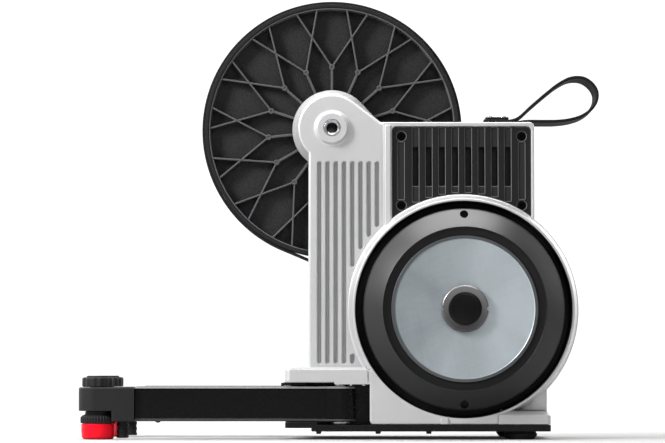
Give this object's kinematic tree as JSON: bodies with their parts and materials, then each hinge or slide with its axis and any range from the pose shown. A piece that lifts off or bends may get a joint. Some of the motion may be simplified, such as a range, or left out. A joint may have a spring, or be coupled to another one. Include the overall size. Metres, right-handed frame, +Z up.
{
  "type": "direct drive bike trainer",
  "caption": "Indoor bike trainer that replaces the rear wheel: cast side arm with hollow axle, belt driven wheel, braked flywheel, vented case, folding levelling legs and a carry strap.",
  "frame": {"origin": "middle of the underside of the whole part, on the floor", "axes": "+X to the rear of the bike, +Y to the drive side, +Z up; the flywheel faces -Y"},
  "size_m": [0.5728, 0.204, 0.4836],
  "materials": {
    "cast_silver": "fine textured silver powder coat on an aluminium casting",
    "black_plate": "black satin paint",
    "black_plastic": "black moulded plastic, fine grain",
    "wheel_plastic": "dark moulded plastic, satin",
    "steel": "turned steel",
    "dark_steel": "dark chemically blackened steel",
    "flywheel_iron": "turned iron, dark satin coat",
    "zinc_plate": "zinc plated, bluish, with fine rub marks",
    "coil_copper": "lacquered copper winding",
    "board_green": "glass fibre circuit board",
    "belt_rubber": "ribbed drive belt",
    "strap_rubber": "soft black strap",
    "foot_rubber": "black rubber",
    "foot_red": "red elastomer, satin"
  },
  "bodies": {
    "frame": {"main_casting": "cast_silver", "base_plate": "black_plate", "vent_grille": "black_plastic", "grille_screw_1": "black_plate", "grille_screw_2": "black_plate", "grille_screw_3": "black_plate", "grille_screw_4": "black_plate", "drive_side_cover": "black_plastic", "cover_screw_1": "black_plate", "cover_screw_2": "black_plate", "cover_screw_3": "black_plate", "cover_screw_4": "black_plate", "control_board": "board_green", "power_inlet": "black_plastic", "drive_belt": "belt_rubber", "idler_bolt": "steel", "carry_strap": "strap_rubber", "strap_clamp_plate": "black_plate", "strap_screw_1": "black_plate", "strap_screw_2": "black_plate", "hollow_axle": "steel", "frame_adaptor_near": "dark_steel", "frame_adaptor_far": "dark_steel", "wheel_bearing_near": "steel", "wheel_bearing_far": "steel", "flywheel_bearing_near": "steel", "flywheel_bearing_far": "steel", "brake_coil_carrier": "black_plate", "brake_coil_1": "coil_copper", "brake_coil_2": "coil_copper", "brake_coil_3": "coil_copper", "brake_coil_4": "coil_copper", "brake_coil_5": "coil_copper", "brake_coil_6": "coil_copper", "leg_pivot_pin_near": "steel", "leg_pivot_pin_far": "steel", "rear_foot_near": "foot_rubber", "rear_foot_far": "foot_rubber"},
    "flywheel_unit": {"flywheel": "flywheel_iron", "flywheel_disc": "zinc_plate", "flywheel_nut": "dark_steel", "flywheel_nut_cap": "black_plastic", "flywheel_shaft": "steel", "drive_pulley": "steel"},
    "wheel_unit": {"belt_wheel": "wheel_plastic"},
    "freehub": {"freehub_body": "steel"},
    "idler_roller": {"belt_idler": "black_plastic"},
    "leg_near": {"leg_tube_near": "black_plate", "leg_end_cap_near": "black_plastic"},
    "knob_near": {"height_knob_near": "black_plastic"},
    "foot_near": {"foot_stem_near": "black_plastic", "foot_pad_near": "foot_red"},
    "release_tab_near": {"leg_release_tab_near": "black_plastic"},
    "leg_far": {"leg_tube_far": "black_plate", "leg_end_cap_far": "black_plastic"},
    "knob_far": {"height_knob_far": "black_plastic"},
    "foot_far": {"foot_stem_far": "black_plastic", "foot_pad_far": "foot_red"},
    "release_tab_far": {"leg_release_tab_far": "black_plastic"}
  },
  "joints": [
    {"name": "flywheel_spin", "type": "hinge", "parent": "frame", "child": "flywheel_unit", "pos_m": [0.13247, 0.01668, 0.141], "axis": [0, 1, 0], "continuous": true},
    {"name": "wheel_spin", "type": "hinge", "parent": "frame", "child": "wheel_unit", "pos_m": [-0.01053, 0.01668, 0.34], "axis": [0, 1, 0], "continuous": true},
    {"name": "idler_spin", "type": "hinge", "parent": "frame", "child": "idler_roller", "pos_m": [0.15314, 0.01668, 0.24105], "axis": [0, 1, 0], "continuous": true},
    {"name": "freehub_spin", "type": "hinge", "parent": "wheel_unit", "child": "freehub", "pos_m": [-0.01053, 0.01668, 0.34], "axis": [0, 1, 0], "continuous": true},
    {"name": "leg_near_swing", "type": "hinge", "parent": "frame", "child": "leg_near", "pos_m": [-0.00203, -0.04932, 0.038], "axis": [0, 0, 1], "range_deg": [0, 70]},
    {"name": "knob_near_turn", "type": "hinge", "parent": "leg_near", "child": "knob_near", "pos_m": [-0.26533, -0.04932, 0.062], "axis": [0, 0, -1], "range_deg": [0, 1800]},
    {"name": "foot_near_height", "type": "slide", "parent": "leg_near", "child": "foot_near", "axis": [0, 0, -1], "range_m": [0, 0.01]},
    {"name": "release_tab_near_pull", "type": "slide", "parent": "frame", "child": "release_tab_near", "axis": [-1, 0, 0], "range_m": [0, 0.004], "stiffness_N_per_m": 600},
    {"name": "leg_far_swing", "type": "hinge", "parent": "frame", "child": "leg_far", "pos_m": [-0.00203, 0.08268, 0.038], "axis": [0, 0, -1], "range_deg": [0, 70]},
    {"name": "knob_far_turn", "type": "hinge", "parent": "leg_far", "child": "knob_far", "pos_m": [-0.26533, 0.08268, 0.062], "axis": [0, 0, -1], "range_deg": [0, 1800]},
    {"name": "foot_far_height", "type": "slide", "parent": "leg_far", "child": "foot_far", "axis": [0, 0, -1], "range_m": [0, 0.01]},
    {"name": "release_tab_far_pull", "type": "slide", "parent": "frame", "child": "release_tab_far", "axis": [-1, 0, 0], "range_m": [0, 0.004], "stiffness_N_per_m": 600}
  ],
  "couplings": [
    {"joint": "wheel_spin", "follows": "flywheel_spin", "ratio": 0.1},
    {"joint": "idler_spin", "follows": "flywheel_spin", "ratio": -1.1842},
    {"joint": "knob_near_turn", "follows": "foot_near_height", "rad_per_m": 3141.6},
    {"joint": "knob_far_turn", "follows": "foot_far_height", "rad_per_m": 3141.6}
  ]
}
